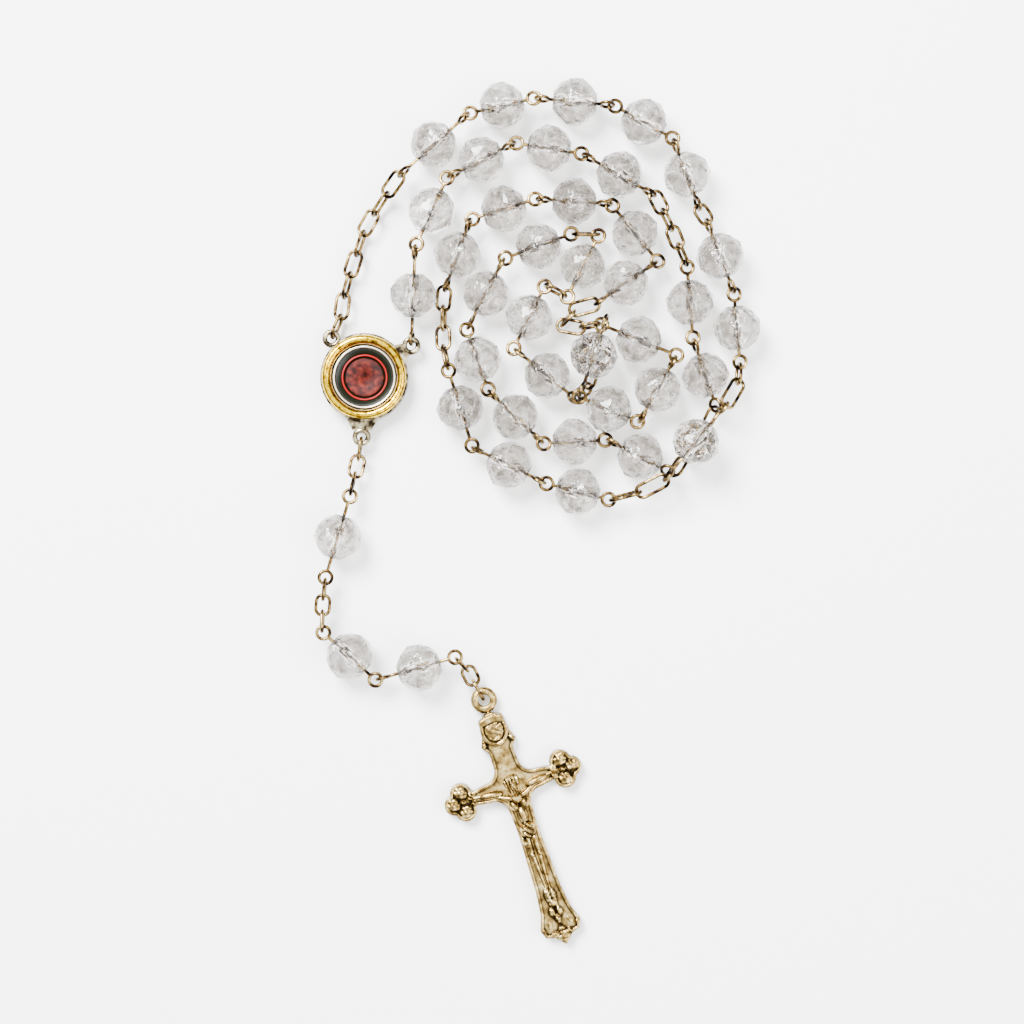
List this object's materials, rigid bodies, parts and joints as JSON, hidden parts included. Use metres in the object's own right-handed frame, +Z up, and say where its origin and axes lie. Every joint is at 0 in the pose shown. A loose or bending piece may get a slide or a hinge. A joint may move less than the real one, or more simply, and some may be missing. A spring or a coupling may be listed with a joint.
{
  "type": "rosary",
  "caption": "Rosary laid out in a coil: faceted clear glass beads on wire eye pins and oval links, with a ringed round centrepiece and a pendant ending in an ornate crucifix.",
  "frame": {"origin": "middle of the flat back of the round centrepiece, on the surface the rosary lies on", "axes": "+Z up off that surface, +Y from the centrepiece towards the first beads of the loop, the pendant and crucifix lie towards -Y, +X to the side the loop is coiled on"},
  "size_m": [0.0758, 0.1475, 0.0103],
  "materials": {
    "bead_glass": "polished facets",
    "wire": "antiqued pale gold plate",
    "case_silver": "polished, slightly worn",
    "bezel_gold": "polished",
    "inner_ring_silver": "satin",
    "cup_dark": "gloss enamel",
    "disc_red_brown": "mottled, glossy",
    "crucifix_metal": "antiqued cast metal with dark recesses"
  },
  "bodies": {
    "strand": {"left_chain": "wire", "left_strand_pins": "wire", "left_strand_links": "wire", "right_strand_pins": "wire", "right_strand_links": "wire"},
    "inner_turn": {"inner_turn_pins": "wire"},
    "centrepiece": {"centrepiece_case": "case_silver", "centrepiece_bezel": "bezel_gold", "centrepiece_inner_ring": "inner_ring_silver", "centrepiece_cup": "cup_dark", "centrepiece_stone": "disc_red_brown"},
    "pendant_upper": {"pendant_upper_links": "wire"},
    "pendant_first": {"pendant_pin_1": "wire"},
    "pendant_lower": {"pendant_lower_links": "wire"},
    "pendant_second": {"pendant_pin_2": "wire"},
    "pendant_third": {"pendant_pin_3": "wire"},
    "crucifix_chain": {"crucifix_links": "wire"},
    "crucifix": {"crucifix_cross": "crucifix_metal", "crucifix_title_plate": "crucifix_metal", "crucifix_figure": "crucifix_metal"},
    "left_bead_01": {"left_bead_01": "bead_glass"},
    "left_bead_02": {"left_bead_02": "bead_glass"},
    "left_bead_03": {"left_bead_03": "bead_glass"},
    "left_bead_04": {"left_bead_04": "bead_glass"},
    "left_bead_05": {"left_bead_05": "bead_glass"},
    "left_bead_06": {"left_bead_06": "bead_glass"},
    "left_bead_07": {"left_bead_07": "bead_glass"},
    "left_bead_08": {"left_bead_08": "bead_glass"},
    "left_bead_09": {"left_bead_09": "bead_glass"},
    "left_bead_10": {"left_bead_10": "bead_glass"},
    "left_bead_11": {"left_bead_11": "bead_glass"},
    "left_bead_12": {"left_bead_12": "bead_glass"},
    "left_bead_13": {"left_bead_13": "bead_glass"},
    "left_bead_14": {"left_bead_14": "bead_glass"},
    "left_bead_15": {"left_bead_15": "bead_glass"},
    "left_bead_16": {"left_bead_16": "bead_glass"},
    "inner_bead_01": {"inner_bead_01": "bead_glass"},
    "inner_bead_02": {"inner_bead_02": "bead_glass"},
    "inner_bead_03": {"inner_bead_03": "bead_glass"},
    "inner_bead_04": {"inner_bead_04": "bead_glass"},
    "right_bead_01": {"right_bead_01": "bead_glass"},
    "right_bead_02": {"right_bead_02": "bead_glass"},
    "right_bead_03": {"right_bead_03": "bead_glass"},
    "right_bead_04": {"right_bead_04": "bead_glass"},
    "right_bead_05": {"right_bead_05": "bead_glass"},
    "right_bead_06": {"right_bead_06": "bead_glass"},
    "right_bead_07": {"right_bead_07": "bead_glass"},
    "right_bead_08": {"right_bead_08": "bead_glass"},
    "right_bead_09": {"right_bead_09": "bead_glass"},
    "right_bead_10": {"right_bead_10": "bead_glass"},
    "right_bead_11": {"right_bead_11": "bead_glass"},
    "right_bead_12": {"right_bead_12": "bead_glass"},
    "right_bead_13": {"right_bead_13": "bead_glass"},
    "right_bead_14": {"right_bead_14": "bead_glass"},
    "right_bead_15": {"right_bead_15": "bead_glass"},
    "right_bead_16": {"right_bead_16": "bead_glass"},
    "pendant_bead_1": {"pendant_bead_1": "bead_glass"},
    "pendant_bead_2": {"pendant_bead_2": "bead_glass"},
    "pendant_bead_3": {"pendant_bead_3": "bead_glass"}
  },
  "joints": [
    {"name": "inner_turn_lift", "type": "hinge", "parent": "strand", "child": "inner_turn", "pos_m": [0.0397, 0.009, 0.0039], "axis": [-0.979, -0.2037, 0], "range_deg": [0, 30]},
    {"name": "centrepiece_lift", "type": "hinge", "parent": "strand", "child": "centrepiece", "pos_m": [0.00144, 0.00711, 0.0024], "axis": [-0.9965, 0.0842, 0], "range_deg": [0, 60]},
    {"name": "pendant_upper_swing", "type": "hinge", "parent": "centrepiece", "child": "pendant_upper", "pos_m": [-0.00053, -0.01042, 0.00258], "axis": [0, 0, 1], "range_deg": [-20, 20]},
    {"name": "pendant_first_lift", "type": "hinge", "parent": "pendant_upper", "child": "pendant_first", "pos_m": [-0.00206, -0.01929, 0.00361], "axis": [-0.9581, 0.2863, 0], "range_deg": [0, 45]},
    {"name": "pendant_lower_swing", "type": "hinge", "parent": "pendant_first", "child": "pendant_lower", "pos_m": [-0.00654, -0.03445, 0.00411], "axis": [0, 0, 1], "range_deg": [-20, 20]},
    {"name": "pendant_second_lift", "type": "hinge", "parent": "pendant_lower", "child": "pendant_second", "pos_m": [-0.0077, -0.04279, 0.00372], "axis": [-0.6702, -0.7422, 0], "range_deg": [0, 45]},
    {"name": "pendant_third_swing", "type": "hinge", "parent": "pendant_second", "child": "pendant_third", "pos_m": [0.00227, -0.05145, 0.0039], "axis": [0, 0, 1], "range_deg": [-30, 20]},
    {"name": "crucifix_chain_swing", "type": "hinge", "parent": "pendant_third", "child": "crucifix_chain", "pos_m": [0.01581, -0.04799, 0.00431], "axis": [0, 0, 1], "range_deg": [-20, 20]},
    {"name": "crucifix_lift", "type": "hinge", "parent": "crucifix_chain", "child": "crucifix", "pos_m": [0.0196, -0.05379, 0.0014], "axis": [-0.87, -0.493, 0], "range_deg": [0, 60]},
    {"name": "left_bead_01_spin", "type": "hinge", "parent": "strand", "child": "left_bead_01", "pos_m": [0.01187, 0.03942, 0.00397], "axis": [0.7421, 0.6702, -0.009], "continuous": true},
    {"name": "left_bead_02_spin", "type": "hinge", "parent": "strand", "child": "left_bead_02", "pos_m": [0.02351, 0.04608, 0.00384], "axis": [0.9738, 0.2273, 0.0088], "continuous": true},
    {"name": "left_bead_03_spin", "type": "hinge", "parent": "strand", "child": "left_bead_03", "pos_m": [0.03586, 0.04675, 0.00394], "axis": [0.9961, -0.0875, -0.006], "continuous": true},
    {"name": "left_bead_04_spin", "type": "hinge", "parent": "strand", "child": "left_bead_04", "pos_m": [0.04762, 0.04327, 0.00385], "axis": [0.8722, -0.489, 0.0073], "continuous": true},
    {"name": "left_bead_05_spin", "type": "hinge", "parent": "strand", "child": "left_bead_05", "pos_m": [0.05488, 0.03435, 0.00398], "axis": [0.3566, -0.9342, -0.0126], "continuous": true},
    {"name": "left_bead_06_spin", "type": "hinge", "parent": "strand", "child": "left_bead_06", "pos_m": [0.06058, 0.02051, 0.00392], "axis": [0.3567, -0.9342, -0.0038], "continuous": true},
    {"name": "left_bead_07_spin", "type": "hinge", "parent": "strand", "child": "left_bead_07", "pos_m": [0.06345, 0.00826, 0.00387], "axis": [0.085, -0.9964, 0.0045], "continuous": true},
    {"name": "left_bead_08_spin", "type": "hinge", "parent": "strand", "child": "left_bead_08", "pos_m": [0.05621, -0.01114, 0.00668], "axis": [-0.6321, -0.7748, -0.0104], "continuous": true},
    {"name": "left_bead_09_spin", "type": "hinge", "parent": "strand", "child": "left_bead_09", "pos_m": [0.03634, -0.01952, 0.00394], "axis": [-0.9686, 0.2484, -0.0067], "continuous": true},
    {"name": "left_bead_10_spin", "type": "hinge", "parent": "strand", "child": "left_bead_10", "pos_m": [0.02462, -0.01504, 0.00392], "axis": [-0.8989, 0.4381, -0.0034], "continuous": true},
    {"name": "left_bead_11_spin", "type": "hinge", "parent": "strand", "child": "left_bead_11", "pos_m": [0.0164, -0.00534, 0.00379], "axis": [-0.2982, 0.9544, 0.0145], "continuous": true},
    {"name": "left_bead_12_spin", "type": "hinge", "parent": "strand", "child": "left_bead_12", "pos_m": [0.01593, 0.02067, 0.004], "axis": [0.3397, 0.9404, -0.0159], "continuous": true},
    {"name": "left_bead_13_spin", "type": "hinge", "parent": "strand", "child": "left_bead_13", "pos_m": [0.0238, 0.0285, 0.00378], "axis": [0.9534, 0.3009, 0.0198], "continuous": true},
    {"name": "left_bead_14_spin", "type": "hinge", "parent": "strand", "child": "left_bead_14", "pos_m": [0.03576, 0.02978, 0.00394], "axis": [0.9979, -0.0643, -0.0075], "continuous": true},
    {"name": "left_bead_15_spin", "type": "hinge", "parent": "strand", "child": "left_bead_15", "pos_m": [0.04611, 0.02437, 0.00379], "axis": [0.6311, -0.7756, 0.0158], "continuous": true},
    {"name": "left_bead_16_spin", "type": "hinge", "parent": "strand", "child": "left_bead_16", "pos_m": [0.0445, 0.01588, 0.00401], "axis": [-0.8227, -0.5681, -0.0187], "continuous": true},
    {"name": "inner_bead_01_spin", "type": "hinge", "parent": "inner_turn", "child": "inner_bead_01", "pos_m": [0.04678, 0.00628, 0.00374], "axis": [0.9252, -0.379, 0.0207], "continuous": true},
    {"name": "inner_bead_02_spin", "type": "hinge", "parent": "inner_turn", "child": "inner_bead_02", "pos_m": [0.04991, -0.00216, 0.00401], "axis": [-0.4851, -0.8743, -0.0181], "continuous": true},
    {"name": "inner_bead_03_spin", "type": "hinge", "parent": "inner_turn", "child": "inner_bead_03", "pos_m": [0.04153, -0.0056, 0.0052], "axis": [-0.9024, 0.3682, 0.224], "continuous": true},
    {"name": "inner_bead_04_spin", "type": "hinge", "parent": "inner_turn", "child": "inner_bead_04", "pos_m": [0.03895, 0.00343, 0.00664], "axis": [0.3201, 0.9474, -0.0062], "continuous": true},
    {"name": "right_bead_01_spin", "type": "hinge", "parent": "strand", "child": "right_bead_01", "pos_m": [0.00841, 0.01385, 0.00386], "axis": [0.0481, 0.9802, 0.1922], "continuous": true},
    {"name": "right_bead_02_spin", "type": "hinge", "parent": "strand", "child": "right_bead_02", "pos_m": [0.01157, 0.02806, 0.00451], "axis": [0.4064, 0.9094, -0.0882], "continuous": true},
    {"name": "right_bead_03_spin", "type": "hinge", "parent": "strand", "child": "right_bead_03", "pos_m": [0.02001, 0.03685, 0.00397], "axis": [0.8871, 0.4614, -0.0111], "continuous": true},
    {"name": "right_bead_04_spin", "type": "hinge", "parent": "strand", "child": "right_bead_04", "pos_m": [0.03148, 0.03881, 0.00383], "axis": [0.987, -0.1601, 0.0117], "continuous": true},
    {"name": "right_bead_05_spin", "type": "hinge", "parent": "strand", "child": "right_bead_05", "pos_m": [0.04341, 0.03429, 0.00394], "axis": [0.8692, -0.4944, -0.0063], "continuous": true},
    {"name": "right_bead_06_spin", "type": "hinge", "parent": "strand", "child": "right_bead_06", "pos_m": [0.05546, 0.01261, 0.00386], "axis": [0.0808, -0.9967, 0.0058], "continuous": true},
    {"name": "right_bead_07_spin", "type": "hinge", "parent": "strand", "child": "right_bead_07", "pos_m": [0.05808, 0.00022, 0.00387], "axis": [0.3187, -0.9478, 0.0045], "continuous": true},
    {"name": "right_bead_08_spin", "type": "hinge", "parent": "strand", "child": "right_bead_08", "pos_m": [0.04702, -0.01359, 0.00366], "axis": [-0.8917, 0.4507, 0.0411], "continuous": true},
    {"name": "right_bead_09_spin", "type": "hinge", "parent": "strand", "child": "right_bead_09", "pos_m": [0.03582, -0.01106, 0.00383], "axis": [-0.9983, -0.0566, 0.0122], "continuous": true},
    {"name": "right_bead_10_spin", "type": "hinge", "parent": "strand", "child": "right_bead_10", "pos_m": [0.02579, -0.0068, 0.00381], "axis": [-0.7228, 0.6909, 0.0143], "continuous": true},
    {"name": "right_bead_11_spin", "type": "hinge", "parent": "strand", "child": "right_bead_11", "pos_m": [0.01933, 0.0029, 0.00395], "axis": [-0.3359, 0.9419, -0.008], "continuous": true},
    {"name": "right_bead_12_spin", "type": "hinge", "parent": "strand", "child": "right_bead_12", "pos_m": [0.02071, 0.01413, 0.00381], "axis": [0.4601, 0.8878, 0.0136], "continuous": true},
    {"name": "right_bead_13_spin", "type": "hinge", "parent": "strand", "child": "right_bead_13", "pos_m": [0.02967, 0.02219, 0.00399], "axis": [0.9377, 0.3471, -0.0134], "continuous": true},
    {"name": "right_bead_14_spin", "type": "hinge", "parent": "strand", "child": "right_bead_14", "pos_m": [0.03724, 0.01872, 0.00415], "axis": [-0.4503, -0.8921, 0.0387], "continuous": true},
    {"name": "right_bead_15_spin", "type": "hinge", "parent": "strand", "child": "right_bead_15", "pos_m": [0.02811, 0.01008, 0.00388], "axis": [-0.4444, -0.8958, 0.0027], "continuous": true},
    {"name": "right_bead_16_spin", "type": "hinge", "parent": "strand", "child": "right_bead_16", "pos_m": [0.03116, 0.0002, 0.00401], "axis": [0.7743, -0.6325, -0.0172], "continuous": true},
    {"name": "pendant_bead_1_spin", "type": "hinge", "parent": "pendant_first", "child": "pendant_bead_1", "pos_m": [-0.00444, -0.02723, 0.00376], "axis": [-0.2862, -0.958, 0.0182], "continuous": true},
    {"name": "pendant_bead_2_spin", "type": "hinge", "parent": "pendant_second", "child": "pendant_bead_2", "pos_m": [-0.00245, -0.04753, 0.00381], "axis": [0.7421, -0.6701, 0.0133], "continuous": true},
    {"name": "pendant_bead_3_spin", "type": "hinge", "parent": "pendant_third", "child": "pendant_bead_3", "pos_m": [0.00943, -0.04942, 0.0039], "axis": [0.9621, 0.2727, 0.0001], "continuous": true}
  ]
}
